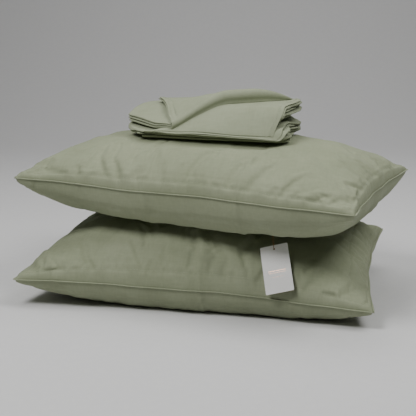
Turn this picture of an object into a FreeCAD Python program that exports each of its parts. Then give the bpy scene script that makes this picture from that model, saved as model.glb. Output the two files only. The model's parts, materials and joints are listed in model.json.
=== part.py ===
"""Bedding set at rest: two filled pillows, a folded duvet cover and a swing tag.

Units are millimetres, +Z is up and +X runs along the lower pillow.  Every soft
shape is a closed solid between two spline surfaces, whose pole nets come from
a few driving dimensions.  The set is moved at the end so that the origin is
the centre of the base of its box.
"""
import FreeCAD
import Part
import math
import os

V = FreeCAD.Vector

# Pillowcases: plan size of the filled case, corner to corner
CASE_LENGTH = 720.0
CASE_WIDTH = 470.0
CLOTH = 2.0              # thickness kept for one panel of the case
TICKING = 1.6            # thickness kept for the pillow's own cover
FLAP = 0.8               # thickness kept for the tuck-in flap
FLAP_REACH = 150.0       # how far the flap reaches into the case
GAP = 0.6                # air between one soft layer and the next
SEAM_WIDTH = 5.0
SEAM_HEIGHT = 3.2
PLAN_POLES = (15, 11)    # poles along the length and the width of a panel

# Where one soft thing rests on the next
CONTACT_HEIGHT = 164.0   # between the pillows, above the set's middle
CONTACT_SLOPE = -0.05    # fall of that contact along +X
COVER_BASE = 322.0       # underside of the folded cover at its front edge
COVER_BASE_SLOPE = 0.045 # rise of that underside along +Y
REST_GAP = 0.5           # half of the air left at each contact
SOFTNESS = 7.0           # how gently a crown flattens at a contact
FACET = 0.3              # facet size used only to measure the whole box

# Folded duvet cover
COVER_PLAN = ((-198.0, -42.0), (154.0, -66.0), (184.0, 152.0), (-172.0, 176.0))
COVER_FRONT_TOP = (352.0, 334.0)   # height of the top layer's front edge, left and right
COVER_PLATEAU = (386.0, 396.0)     # height of the flat top, left and right
COVER_FRONT_RUN = (150.0, 50.0)    # how far back the sloping front reaches, left and right
FOLD_LEVELS = (0.0, 0.16, 0.37, 0.58, 0.79, 1.0)
COVER_LENGTH = 352.0
# Each fold's retreat from the left, right, front and back borders, as shares of the plan
FOLD_INSETS = ((0.13, 0.0, 0.0, 0.04), (0.0, 0.01, 0.03, 0.0), (0.01, 0.02, 0.04, 0.02),
               (0.02, 0.0, 0.05, 0.0), (0.05, 0.01, 0.06, 0.03))
FOLD_GAP = 0.8
BUTTON_FOLD = 2          # the buttons lie on this fold
BUTTON_ROOM = 4.6        # gap between the folds that the buttons lie in
BUTTON_RADIUS = 7.5
BUTTON_HEIGHT = 3.0
BUTTON_COUNT = 6
BUTTON_PITCH = 45.0
TIE_WIDTH = 8.0
TIE_HEIGHT = 1.2
HEM_WIDTH = 13.0
HEM_PLACE = 0.945        # left border of the hem, as a share of the cover's length
HEM_HEIGHT = 1.6

# Turned-back corner of the cover
ROLL_START = (-74.0, -46.0)
ROLL_END = (158.0, 112.0)
CORNER_TIP = (-146.0, 125.0)
TIP_THICK = 4.0
ROLL_THICK = 23.0
TIP_SPREAD = 0.62        # length of the turned corner's far edge against the whole
CORNER_GAP = 2.4
CORNER_REACH = 12        # poles along the roll

# Swing tag
TAG_WIDTH = 55.0
TAG_LENGTH = 100.0
TAG_PLY = 0.6
TAG_CORNER = 2.0
TAG_TOP = (161.6, -174.3, 140.5)
TAG_DOWN = (0.226, -0.616, -0.755)
TAG_ACROSS = (0.968, 0.053, 0.247)
HOLE_DROP = 8.0
HOLE_RADIUS = 2.2
STRING_RADIUS = 0.6
KNOT_RADIUS = 2.6
KNOT_PLACE = (155.7, -140.6, 151.3)


def soft_min(first, second, softness=SOFTNESS):
    """The smaller of two heights, rounded where they meet, never above either."""
    low = min(first, second)
    high = max(first, second)
    return low - softness * math.log(1.0 + math.exp((low - high) / softness))


def soft_max(first, second, softness=SOFTNESS):
    return -soft_min(-first, -second, softness)


def contact_height(x):
    return CONTACT_HEIGHT + CONTACT_SLOPE * x


def cover_base(y):
    return COVER_BASE + COVER_BASE_SLOPE * (y - COVER_PLAN[1][1])


def spread(count):
    """Values from 0 to 1, closer together near both ends."""
    return [0.5 - 0.5 * math.cos(math.pi * k / (count - 1)) for k in range(count)]


def even(count):
    return [k / (count - 1) for k in range(count)]


# ---------------------------------------------------------------- solid tools

def knots(pole_count, degree):
    spans = pole_count - degree
    values = [float(k) for k in range(spans + 1)]
    counts = [degree + 1] + [1] * (spans - 1) + [degree + 1]
    return values, counts


def spline_face(net):
    """A clamped spline face on a net of poles, net[row][column]."""
    u_degree = min(3, len(net) - 1)
    v_degree = min(3, len(net[0]) - 1)
    u_values, u_counts = knots(len(net), u_degree)
    v_values, v_counts = knots(len(net[0]), v_degree)
    surface = Part.BSplineSurface()
    surface.buildFromPolesMultsKnots(
        net, u_counts, v_counts, u_values, v_values, False, False, u_degree, v_degree)
    return surface.toShape()


def border(net):
    """The four edge rows of a net, in a fixed order."""
    return [net[0], [row[-1] for row in net], net[-1], [row[0] for row in net]]


def solid_between(upper, lower):
    """The closed solid between two nets of the same size."""
    faces = [spline_face(upper), spline_face(lower)]
    for high, low in zip(border(upper), border(lower)):
        faces.append(spline_face([high, low]))
    return closed_solid(faces)


def closed_solid(faces):
    skin = Part.makeCompound(faces)
    skin.sewShape(1e-3)
    solid = Part.Solid(skin.Shells[0])
    if solid.Volume < 0:
        solid.reverse()
    return solid


def tube(points, radius):
    """A round tube along straight runs joined by tangent arcs."""
    path = [V(*p) for p in points]
    edges = []
    start = path[0]
    radii = []
    for before, corner, after in zip(path, path[1:], path[2:]):
        into = (corner - before).normalize()
        out = (after - corner).normalize()
        turn = into.getAngle(out)
        reach = 0.45 * min((corner - before).Length, (after - corner).Length)
        radii.append(reach / math.tan(turn / 2))
        arc_start = corner - into * reach
        arc_end = corner + out * reach
        to_centre = (out - into).normalize()
        middle = corner + to_centre * (radii[-1] / math.cos(turn / 2) - radii[-1])
        edges.append(Part.LineSegment(start, arc_start).toShape())
        edges.append(Part.Arc(arc_start, middle, arc_end).toShape())
        start = arc_end
    edges.append(Part.LineSegment(start, path[-1]).toShape())
    wire = Part.Wire(edges)
    ring = Part.Wire([Part.Circle(path[0], path[1] - path[0], radius).toShape()])
    solid = wire.makePipeShell([ring], True, True)
    swept = math.pi * radius ** 2 * wire.Length
    print("string length %.1f, volume ratio %.4f" % (wire.Length, solid.Volume / swept))
    print("string radii", [round(r, 1) for r in radii])
    return solid


# ---------------------------------------------------------------- one pillow

class Pillow:
    """Plan, seam line and crowns of one filled pillow."""

    def __init__(self, name, centre, yaw, corners, lift, up, down, top, bottom, pull, fullness):
        self.name = name
        self.centre = centre
        self.yaw = math.radians(yaw)
        self.corners = corners      # seam heights: front left, front right, back right, back left
        self.lift = lift            # rise of the seam at the middle of the long sides
        self.up = up                # free crown heights above and below the seam
        self.down = down
        self.top = top              # height that the crown flattens to, at x and y
        self.bottom = bottom
        self.pull = pull            # pull-in of the short sides and of the long sides
        self.fullness = fullness    # upper ends, lower ends, sides: lower is boxier

    def plan(self, s, t, inset):
        """World x and y at s along the length and t across the width."""
        x = (s - 0.5) * (CASE_LENGTH - 2 * inset - 2 * self.pull[0] * 4 * t * (1 - t))
        y = (t - 0.5) * (CASE_WIDTH - 2 * inset - 2 * self.pull[1] * 4 * s * (1 - s))
        c = math.cos(self.yaw)
        n = math.sin(self.yaw)
        return self.centre[0] + x * c - y * n, self.centre[1] + x * n + y * c

    def seam(self, s, t):
        fl, fr, br, bl = self.corners
        flat = (1 - t) * ((1 - s) * fl + s * fr) + t * ((1 - s) * bl + s * br)
        return flat + self.lift * 4 * s * (1 - s)

    def point(self, s, t, inset, side):
        """A point of the upper (side 1) or lower (side -1) skin, inset all round."""
        x, y = self.plan(s, t, inset)
        ends = self.fullness[0] if side > 0 else self.fullness[1]
        swell = (4 * s * (1 - s)) ** ends * (4 * t * (1 - t)) ** self.fullness[2]
        crown = (self.up if side > 0 else self.down) - inset
        z = self.seam(s, t) + side * (0.3 + crown * swell)
        if side > 0:
            z = soft_min(z, self.top(x, y) - inset)
        elif self.bottom:
            z = soft_max(z, self.bottom(x, y) + inset)
        return V(x, y, z)

    def net(self, inset, side):
        return [[self.point(s, t, inset, side) for t in spread(PLAN_POLES[1])]
                for s in spread(PLAN_POLES[0])]

    def panel(self, inset, side, thickness):
        return solid_between(self.net(inset, side), self.net(inset + thickness, side))

    def strip(self, side_index, inset, width, height, raise_by=0.0):
        """A bar along one side of the outline, mitred at the corners."""
        shares = spread(PLAN_POLES[side_index % 2])

        def at(a, depth, dz):
            s, t = ((a, 0), (1, a), (1 - a, 1), (0, 1 - a))[side_index]
            x, y = self.plan(s, t, depth)
            return V(x, y, self.seam(s, t) + raise_by + dz)

        def rows(dz):
            return [[at(a, inset, dz) for a in shares],
                    [at(a, inset + width, dz) for a in shares]]

        return solid_between(rows(height / 2), rows(-height / 2))

    def core(self, inset):
        """The filling: both skins, joined by a low rim."""
        return solid_between(self.net(inset, 1), self.net(inset, -1))


def half_space():
    reach = 2000.0
    return Part.makeBox(2 * reach, 2 * reach, reach, V(-reach, -reach, 0))


LOWER = Pillow(
    "lower", centre=(0.0, 0.0), yaw=0.0, corners=(56.0, 37.0, 87.0, 75.0), lift=6.0,
    up=128.0, down=98.0, top=lambda x, y: contact_height(x) - REST_GAP, bottom=None,
    pull=(20.0, 15.0), fullness=(0.52, 0.40, 0.42))
UPPER = Pillow(
    "upper", centre=(13.0, 14.0), yaw=-10.9, corners=(249.0, 232.0, 240.0, 245.0), lift=-2.0,
    up=112.0, down=132.0, top=lambda x, y: cover_base(y) - REST_GAP,
    bottom=lambda x, y: contact_height(x) + REST_GAP, pull=(13.0, 14.0),
    fullness=(0.42, 0.38, 0.40))


def case_bottom(pillow):
    if pillow.bottom:
        return pillow.panel(0.0, -1, CLOTH)
    outer = pillow.net(0.0, -1)
    inner = [[V(p.x, p.y, soft_max(p.z, CLOTH, 2.0)) for p in row]
             for row in pillow.net(CLOTH, -1)]
    return solid_between(outer, inner).common(half_space())


def inner_skin_bottom(pillow, inset):
    """The lower net of an inner layer, kept above the floor by its inset."""
    net = pillow.net(inset, -1)
    if pillow.bottom:
        return net
    return [[V(p.x, p.y, soft_max(p.z, inset + GAP, 2.0)) for p in row] for row in net]


def tuck_in_flap(pillow, open_end):
    """The flap inside the open end of the case, lying under the upper panel."""
    whole = pillow.panel(CLOTH + GAP, 1, FLAP)
    end = pillow.plan(0.5 + 0.5 * open_end, 0.5, 0.0)
    reach = Part.makeBox(2 * FLAP_REACH, 2 * CASE_WIDTH, 1000.0, V(-FLAP_REACH, -CASE_WIDTH, 0))
    reach.Placement = FreeCAD.Placement(
        V(end[0], end[1], 0), FreeCAD.Rotation(V(0, 0, 1), math.degrees(pillow.yaw)))
    return whole.common(reach)


def pillow_parts(pillow, open_end):
    """Every piece of one pillow; open_end is -1 where the case opens at its left."""
    tick = CLOTH + GAP + FLAP + GAP
    fill = tick + TICKING + GAP
    closed_side = 1 if open_end < 0 else 3
    open_side = 3 if open_end < 0 else 1
    name = pillow.name
    ticking_bottom = solid_between(inner_skin_bottom(pillow, tick),
                                   inner_skin_bottom(pillow, tick + TICKING))
    fill_core = solid_between(pillow.net(fill, 1), inner_skin_bottom(pillow, fill))
    return {
        name + "_case_top": pillow.panel(0.0, 1, CLOTH),
        name + "_case_bottom": case_bottom(pillow),
        name + "_front_seam": pillow.strip(0, -SEAM_WIDTH, SEAM_WIDTH, SEAM_HEIGHT),
        name + "_back_seam": pillow.strip(2, -SEAM_WIDTH, SEAM_WIDTH, SEAM_HEIGHT),
        name + "_end_seam": pillow.strip(closed_side, -SEAM_WIDTH, SEAM_WIDTH, SEAM_HEIGHT),
        name + "_opening_hem": pillow.strip(open_side, -SEAM_WIDTH, SEAM_WIDTH, SEAM_HEIGHT),
        name + "_tuck_in_flap": tuck_in_flap(pillow, open_end),
        name + "_ticking_top": pillow.panel(tick, 1, TICKING),
        name + "_ticking_bottom": ticking_bottom,
        name + "_fibre_filling": fill_core,
    }


# ---------------------------------------------------------------- folded cover

def mix(pair, a):
    return pair[0] + (pair[1] - pair[0]) * a


def cover_place(a, b):
    """World x and y at a from left to right and b from front to back."""
    front_left, front_right, back_right, back_left = COVER_PLAN
    return tuple((1 - b) * mix((front_left[k], front_right[k]), a)
                 + b * mix((back_left[k], back_right[k]), a) for k in (0, 1))


def cover_depth(a):
    front = cover_place(a, 0)
    back = cover_place(a, 1)
    return math.hypot(back[0] - front[0], back[1] - front[1])


def cover_top(a, b):
    """Height of the folded cover's top, which slopes down to its front edge."""
    back = min(max(b * cover_depth(a) / mix(COVER_FRONT_RUN, a), 0.0), 1.0)
    return mix((mix(COVER_FRONT_TOP, a), mix(COVER_PLATEAU, a)), math.sin(0.5 * math.pi * back))


def level(fraction, a, b):
    base = cover_base(cover_place(a, b)[1]) + REST_GAP
    return mix((base, cover_top(a, b)), fraction)


def cover_net(a_span, b_span, height):
    """A net over a part of the folded cover's plan, at the height that a function gives."""
    net = []
    for p in even(9):
        a = mix(a_span, p)
        row = []
        for q in even(13):
            b = mix(b_span, q)
            row.append(V(*cover_place(a, b), height(a, b)))
        net.append(row)
    return net


def fold_top(index, a, b):
    """Height of the top of one fold, below the next fold by the air between them."""
    top = level(FOLD_LEVELS[index + 1], a, b)
    thick = top - level(FOLD_LEVELS[index], a, b)
    room = BUTTON_ROOM if index == BUTTON_FOLD else FOLD_GAP
    return top - min(room, 0.4 * thick)


def fold(index):
    """One group of folded layers of the cover."""
    left, right, front, back = FOLD_INSETS[index]
    a_span = (left, 1 - right)
    b_span = (front, 1 - back)
    return solid_between(
        cover_net(a_span, b_span, lambda a, b: fold_top(index, a, b)),
        cover_net(a_span, b_span, lambda a, b: level(FOLD_LEVELS[index], a, b)))


def cover_hem():
    """The stitched hem along the right border of the top layer."""
    a_span = (HEM_PLACE, HEM_PLACE + HEM_WIDTH / COVER_LENGTH)
    b_span = (0.06, 0.93)
    return solid_between(
        cover_net(a_span, b_span, lambda a, b: cover_top(a, b) + HEM_HEIGHT),
        cover_net(a_span, b_span, lambda a, b: cover_top(a, b) + 0.1))


def button_floor(a, b):
    return fold_top(BUTTON_FOLD, a, b) + 0.3


def cover_buttons():
    """The closing buttons, lying in the middle of the folded cover."""
    buttons = []
    for k in range(BUTTON_COUNT):
        a = 0.5 + (k - (BUTTON_COUNT - 1) / 2) * BUTTON_PITCH / COVER_LENGTH
        base = max(button_floor(a + side, 0.8) for side in (-0.03, 0.03)) + 0.2
        centre = V(*cover_place(a, 0.8), base)
        buttons.append(Part.makeCylinder(BUTTON_RADIUS, BUTTON_HEIGHT, centre))
    return Part.makeCompound(buttons)


def cover_ties():
    """Flat tapes that hold a quilt's corners, lying in the folded cover."""
    ties = []
    for k in range(4):
        left = 0.2 + 0.18 * k
        a_span = (left, left + TIE_WIDTH / COVER_LENGTH)
        b_span = (0.2, 0.6)
        ties.append(solid_between(
            cover_net(a_span, b_span, lambda a, b: button_floor(a, b) + TIE_HEIGHT),
            cover_net(a_span, b_span, button_floor)))
    return Part.makeCompound(ties)


def cover_shares(x, y):
    """The shares a and b of a world place on the folded cover, by Newton steps."""
    a = b = 0.5
    step = 1e-4
    for _ in range(8):
        here = cover_place(a, b)
        da = [(p - q) / step for p, q in zip(cover_place(a + step, b), here)]
        db = [(p - q) / step for p, q in zip(cover_place(a, b + step), here)]
        det = da[0] * db[1] - da[1] * db[0]
        miss = (x - here[0], y - here[1])
        a += (miss[0] * db[1] - miss[1] * db[0]) / det
        b += (da[0] * miss[1] - da[1] * miss[0]) / det
    return a, b


def turned_corner():
    """The corner of the top layer, turned back over a soft roll along its fold."""
    start = V(*ROLL_START, 0)
    end = V(*ROLL_END, 0)
    tip = V(*CORNER_TIP, 0)

    def net(side):
        rows = []
        for k in even(CORNER_REACH):
            root = start + (end - start) * k
            far = tip + (end - tip) * (TIP_SPREAD * k)
            row = []
            for q in even(7):
                p = root + (far - root) * q
                a, b = cover_shares(p.x, p.y)
                roll = (1 - q) ** 1.5 * math.sin(math.pi * min(k + 0.08, 1.0)) ** 0.7
                thick = mix((TIP_THICK, ROLL_THICK), roll)
                row.append(V(p.x, p.y, cover_top(a, b) + CORNER_GAP + (thick if side > 0 else 0)))
            rows.append(row)
        return rows

    return solid_between(net(1), net(-1))


# ---------------------------------------------------------------- swing tag

def tag_axes():
    down = V(*TAG_DOWN).normalize()
    across = V(*TAG_ACROSS)
    across = (across - down * across.dot(down)).normalize()
    return down, across, down.cross(across)


def tag_ply(layer):
    """One card of the tag: 0 is the front, 1 the back."""
    down, across, out = tag_axes()
    half = TAG_WIDTH / 2
    card = Part.makeBox(TAG_LENGTH, TAG_WIDTH, TAG_PLY, V(0, -half, 0))
    upright = [e for e in card.Edges if abs(e.tangentAt(e.FirstParameter).z) > 0.9]
    card = card.makeFillet(TAG_CORNER, upright)
    hole = Part.makeCylinder(HOLE_RADIUS, 3 * TAG_PLY, V(HOLE_DROP, 0, -TAG_PLY))
    card = card.cut(hole)
    place = FreeCAD.Matrix(
        down.x, across.x, out.x, 0, down.y, across.y, out.y, 0, down.z, across.z, out.z, 0)
    turn = FreeCAD.Placement(place)
    turn.Base = V(*TAG_TOP) - out * (TAG_PLY * layer)
    card.Placement = turn
    return card


STRING_ROUTE = [
    (154.5, -143.0, 152.5), (155.0, -151.0, 152.0), (156.5, -160.0, 150.0),
    (159.0, -169.0, 146.5), (161.6, -177.5, 141.0), (163.6, -181.8, 135.8),
    (164.1, -177.3, 131.5), (163.1, -170.3, 133.0), (161.1, -164.5, 138.0),
    (159.5, -158.5, 143.5), (158.0, -151.0, 147.5), (157.0, -143.0, 150.0)]


def tag_knot():
    return Part.makeSphere(KNOT_RADIUS, V(*KNOT_PLACE))


# ---------------------------------------------------------------- the whole set

def all_parts():
    parts = {}
    parts.update(pillow_parts(LOWER, 1))
    parts.update(pillow_parts(UPPER, -1))
    for index in range(len(FOLD_INSETS)):
        parts["cover_fold_%d" % (index + 1)] = fold(index)
    parts["cover_side_hem"] = cover_hem()
    parts["cover_buttons"] = cover_buttons()
    parts["cover_corner_ties"] = cover_ties()
    parts["cover_turned_corner"] = turned_corner()
    parts["tag_front_card"] = tag_ply(0)
    parts["tag_back_card"] = tag_ply(1)
    parts["tag_string"] = tube(STRING_ROUTE, STRING_RADIUS)
    parts["tag_knot"] = tag_knot()
    return parts


def centred(parts):
    """Move everything so that the origin is the centre of the base of the whole box."""
    box = FreeCAD.BoundBox()
    for shape in parts.values():
        for point in shape.tessellate(FACET)[0]:
            box.add(point)
    shift = V(-box.Center.x, -box.Center.y, -box.ZMin)
    print("shift", shift, "size", box.XLength, box.YLength, box.ZLength)
    for shape in parts.values():
        shape.translate(shift)
    return parts


os.makedirs("parts", exist_ok=True)
for name, shape in centred(all_parts()).items():
    bad = not shape.isValid() or any(s.Volume <= 0 for s in shape.Solids)
    print(name, "solids", len(shape.Solids), "litres %.4f" % (shape.Volume / 1e6), "BAD" if bad else "")
    shape.exportStep("parts/%s.step" % name)
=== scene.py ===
import json
import math
import bmesh
import bpy
import numpy as np
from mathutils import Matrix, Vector
from numpy.linalg import norm

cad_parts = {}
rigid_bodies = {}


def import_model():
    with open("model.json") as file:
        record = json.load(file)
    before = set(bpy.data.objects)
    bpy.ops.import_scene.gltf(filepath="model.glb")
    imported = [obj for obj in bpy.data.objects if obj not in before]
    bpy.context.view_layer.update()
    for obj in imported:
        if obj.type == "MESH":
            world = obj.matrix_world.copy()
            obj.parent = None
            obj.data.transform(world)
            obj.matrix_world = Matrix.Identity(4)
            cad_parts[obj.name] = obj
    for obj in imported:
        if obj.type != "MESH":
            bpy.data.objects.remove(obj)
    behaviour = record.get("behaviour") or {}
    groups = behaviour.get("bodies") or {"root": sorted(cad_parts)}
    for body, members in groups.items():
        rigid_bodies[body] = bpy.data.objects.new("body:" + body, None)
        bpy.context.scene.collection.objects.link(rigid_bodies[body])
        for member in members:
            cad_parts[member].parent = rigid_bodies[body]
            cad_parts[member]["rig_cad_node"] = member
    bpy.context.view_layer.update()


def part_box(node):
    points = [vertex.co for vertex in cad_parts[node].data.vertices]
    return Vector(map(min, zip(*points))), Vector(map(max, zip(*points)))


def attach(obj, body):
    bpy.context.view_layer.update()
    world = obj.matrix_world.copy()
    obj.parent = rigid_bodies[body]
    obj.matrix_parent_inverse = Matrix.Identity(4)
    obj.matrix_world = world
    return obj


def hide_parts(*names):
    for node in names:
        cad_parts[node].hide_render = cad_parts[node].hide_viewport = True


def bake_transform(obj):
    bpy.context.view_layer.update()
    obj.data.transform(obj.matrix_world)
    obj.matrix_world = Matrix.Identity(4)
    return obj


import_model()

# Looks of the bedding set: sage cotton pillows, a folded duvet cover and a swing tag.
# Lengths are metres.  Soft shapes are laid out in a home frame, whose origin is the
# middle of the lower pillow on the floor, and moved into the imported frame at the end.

SEAMS = ("front_seam", "back_seam", "end_seam", "opening_hem")
seam_boxes = np.array([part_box("lower_" + s) for s in SEAMS])
HOME = (seam_boxes[:, 0].min(axis=0) + seam_boxes[:, 1].max(axis=0)) / 2 * (1, 1, 0)


# ---- mesh tools

def linked(name, data):
    """A new object in the scene."""
    obj = bpy.data.objects.new(name, data)
    bpy.context.scene.collection.objects.link(obj)
    return obj


def new_object(name, verts, faces, smooth=True):
    mesh = bpy.data.meshes.new(name)
    mesh.from_pydata([tuple(v) for v in verts], [], [tuple(f) for f in faces])
    mesh.validate()
    mesh.update()
    if smooth:
        mesh.polygons.foreach_set("use_smooth", [True] * len(mesh.polygons))
    return linked(name, mesh)


def solid(name, points, faces, finish, smooth=True):
    """A closed mesh from points in the home frame, with its normals outwards."""
    obj = new_object(name, points + HOME, faces, smooth)
    obj.data.materials.append(finish)
    bm = bmesh.new()
    bm.from_mesh(obj.data)
    bmesh.ops.recalc_face_normals(bm, faces=bm.faces)
    bm.to_mesh(obj.data)
    bm.free()
    return obj


def placed(piece, body, nodes=None):
    """Let a piece ride a body in place of CAD nodes, which are hidden; a piece of the turned corner
    only has its transform baked and rides no body.
    """
    if body == "turned_corner":
        bend_at_fold(piece)
    else:
        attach(piece, body)
    if nodes is not None:
        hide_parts(*nodes)


def grid_faces(index):
    """Quads of a grid of vertex numbers."""
    corners = (index[:-1, :-1], index[1:, :-1], index[1:, 1:], index[:-1, 1:])
    return np.stack([c.ravel() for c in corners], axis=1)


def grid_shares(count):
    """0 to 1, gently denser at both ends."""
    k = np.linspace(0.0, 1.0, count)
    return 0.72 * k + 0.28 * (0.5 - 0.5 * np.cos(math.pi * k))


def blur(field, steps):
    """Repeated three-point smoothing of a grid of vectors, with free edges."""
    f = field.copy()
    for _ in range(steps):
        p = np.pad(f, ((1, 1), (1, 1), (0, 0)), mode="edge")
        f = 0.5 * f + 0.125 * (p[:-2, 1:-1] + p[2:, 1:-1] + p[1:-1, :-2] + p[1:-1, 2:])
    return f


def normals_of(grid):
    """Unit normals of a grid of points, upwards on a level one."""
    n = np.cross(np.gradient(grid, axis=0), np.gradient(grid, axis=1))
    return n / np.maximum(norm(n, axis=-1, keepdims=True), 1e-12)


def unit(v):
    return v / norm(v)


def mix(pair, share):
    return pair[0] + (pair[1] - pair[0]) * share


def ease(x, start, end):
    t = np.clip((x - start) / (end - start), 0.0, 1.0)
    return t * t * (3 - 2 * t)


def soft_min(a, b, softness):
    return np.minimum(a, b) - softness * np.log1p(np.exp(-np.abs(a - b) / softness))


def soft_max(a, b, softness):
    return -soft_min(-a, -b, softness)


# ---- materials

class Finish:
    """A node material on the object's own coordinates."""

    def __init__(self, name):
        self.material = bpy.data.materials.new(name)
        self.material.use_nodes = True
        self.tree = self.material.node_tree
        self.shader = self.tree.nodes["Principled BSDF"]
        self.coords = self.tree.nodes.new("ShaderNodeTexCoord").outputs["Object"]

    def put(self, node, **inputs):
        """Set or link inputs; an underscore in a name stands for a space."""
        for key, value in inputs.items():
            socket = node.inputs[key.replace("_", " ")]
            if isinstance(value, bpy.types.NodeSocket):
                self.tree.links.new(value, socket)
            else:
                socket.default_value = value
        return node.outputs

    def new(self, kind):
        return self.tree.nodes.new("ShaderNode" + kind)

    def noise(self, scale, detail=4.0, rough=0.6, stretch=None):
        source = self.coords
        if stretch:
            source = self.put(self.new("Mapping"), Scale=stretch, Vector=source)["Vector"]
        return self.put(self.new("TexNoise"), Scale=scale, Detail=detail, Roughness=rough,
                        Vector=source)["Fac"]

    def threads(self, direction, scale):
        """Fine parallel yarns, slightly uneven."""
        wave = self.new("TexWave")
        wave.wave_type = "BANDS"
        wave.bands_direction = direction
        return self.put(wave, Scale=scale, Distortion=0.6, Detail=1.0, Detail_Scale=4.0,
                        Vector=self.coords)["Fac"]

    def mixed(self, first, second, share=0.5):
        node = self.new("Mix")
        node.data_type = "FLOAT"
        return self.put(node, Factor=share, A=first, B=second)["Result"]

    def colour(self, factor, dark, light, low=0.3, high=0.7):
        """Two colours, mixed by a value between low and high."""
        node = self.new("ValToRGB")
        for stop, place, shade in zip(node.color_ramp.elements, (low, high), (dark, light)):
            stop.position = place
            stop.color = (*shade, 1)
        self.put(self.shader, Base_Color=self.put(node, Fac=factor)["Color"])

    def bump(self, height, strength, distance):
        relief = self.put(self.new("Bump"), Strength=strength, Distance=distance, Height=height)
        self.put(self.shader, Normal=relief["Normal"])


def cotton(name, dark, light, weave=0.00022, yarn=520.0, sheen=0.35):
    """Plain-woven cotton: yarn bump both ways, slubs, and a soft drift of colour."""
    cloth = Finish(name)
    slub = cloth.noise(260.0, 2.0, 0.5, stretch=(0.12, 1.0, 1.0))
    weft = cloth.noise(260.0, 2.0, 0.5, stretch=(1.0, 0.12, 0.35))
    fine = cloth.mixed(slub, weft)
    cloth.colour(cloth.mixed(cloth.noise(9.0, 3.0), fine, 0.45), dark, light, 0.36, 0.64)
    warp, across, upright = [cloth.threads(direction, yarn) for direction in "XYZ"]
    yarns = cloth.mixed(cloth.mixed(warp, across), upright, 0.33)
    cloth.bump(cloth.mixed(yarns, fine), 0.55, weave)
    cloth.put(cloth.shader, Roughness=0.82, Specular_IOR_Level=0.25, Sheen_Weight=sheen,
              Sheen_Roughness=0.45, Sheen_Tint=(0.86, 0.90, 0.80, 1))
    return cloth.material


def plain(name, dark, light, scale, roughness, grain=0.00008, metallic=0.0, stretch=None):
    """A material with a little uneven colour and a fine grain."""
    finish = Finish(name)
    patchy = finish.noise(scale, 5.0, 0.6, stretch)
    finish.colour(patchy, dark, light, 0.35, 0.65)
    finish.bump(patchy, 0.5, grain)
    finish.put(finish.shader, Roughness=roughness, Metallic=metallic)
    return finish.material


CASE_CLOTH = cotton("case_cotton", (0.262, 0.290, 0.186), (0.312, 0.340, 0.228), sheen=0.05)
# A lighter copy of the case cotton: its lighter colour is painted highlight on the lit seam ridges,
# and on the cover's corner ties that share it.
SEAM_CLOTH_PAINTED_HIGHLIGHT = cotton("seam_cotton", (0.285, 0.316, 0.206), (0.345, 0.376, 0.256), sheen=0.2)
COVER_CLOTH = cotton("cover_cotton", (0.282, 0.312, 0.208), (0.332, 0.362, 0.250), sheen=0.05)
THREAD = cotton("sewing_thread", (0.300, 0.330, 0.240), (0.380, 0.410, 0.310), 0.0001, 900.0)
TICKING = cotton("ticking_cotton", (0.70, 0.69, 0.66), (0.80, 0.79, 0.76), 0.0002, 700.0)


# ---- pillows

LENGTH, WIDTH = 0.720, 0.470   # filled case, corner to corner
REST_GAP = 0.0008         # half the gap between things that rest on each other
CONTACT_HEIGHT = 0.164    # where the pillows meet, at the middle
CONTACT_SLOPE = -0.05
COVER_BASE = 0.322        # where the cover rests, at its front
COVER_BASE_SLOPE = 0.045
COVER_FRONT = -0.066
STITCH_INSET = 0.0085     # stitch line inside the seam
HEM_INSET = 0.042         # stitch line of the open end's hem
LIP = (0.0017, 0.0011)    # half depth and half height of a sewn edge
LIPS_APART = 0.0013       # half the gap of the open end
STITCH = (0.0024, 0.0034, 0.00028)    # length, pitch and half thickness of a stitch
THREAD_LIFT = 0.0002      # of a stitch off its cloth


def contact_height(x):
    return CONTACT_HEIGHT + CONTACT_SLOPE * x


def cover_base(y):
    return COVER_BASE + COVER_BASE_SLOPE * (y - COVER_FRONT)


class Pillow:
    """The plan, seam line and crowns of one filled pillow, as its CAD solid has them."""

    def __init__(self, name, yaw, **shape):
        self.name, self.body, self.yaw = name, name + "_pillow", math.radians(yaw)
        vars(self).update(shape)

    def to_home(self, x, y):
        c, n = math.cos(self.yaw), math.sin(self.yaw)
        return self.centre[0] + x * c - y * n, self.centre[1] + x * n + y * c

    def to_local(self, x, y):
        c, n = math.cos(self.yaw), math.sin(self.yaw)
        dx, dy = x - self.centre[0], y - self.centre[1]
        return dx * c + dy * n, -dx * n + dy * c

    def seam(self, s, t):
        """Points on the plane of the seam, with the slight wander of a sewn edge."""
        wander = (0.0018 * np.sin(17.0 * s + 2.0 * self.lift * 1e3)
                  + 0.0011 * np.sin(41.0 * s + 9.0 * t))
        x = (s - 0.5) * (LENGTH - 2 * self.pull[0] * 4 * t * (1 - t))
        y = (t - 0.5) * (WIDTH - 2 * self.pull[1] * 4 * s * (1 - s)) + wander * (2 * t - 1)
        x = x + 0.0014 * np.sin(23.0 * t + 1.3) * (2 * s - 1) * 4 * t * (1 - t)
        fl, fr, br, bl = self.corners
        z = (1 - t) * ((1 - s) * fl + s * fr) + t * ((1 - s) * bl + s * br)
        z = z + self.lift * 4 * s * (1 - s) + 0.0016 * np.sin(13.0 * s + 5.0 * t) * 4 * s * (1 - s)
        hx, hy = self.to_home(x, y)
        return hx, hy, z

    def skin(self, s, t, side):
        x, y, z = self.seam(s, t)
        ends, sides = self.fullness[0 if side > 0 else 1]
        swell = ((4 * s * (1 - s)) ** ends) * ((4 * t * (1 - t)) ** sides)
        crown = self.up if side > 0 else self.down
        return x, y, z + side * crown * swell


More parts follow.
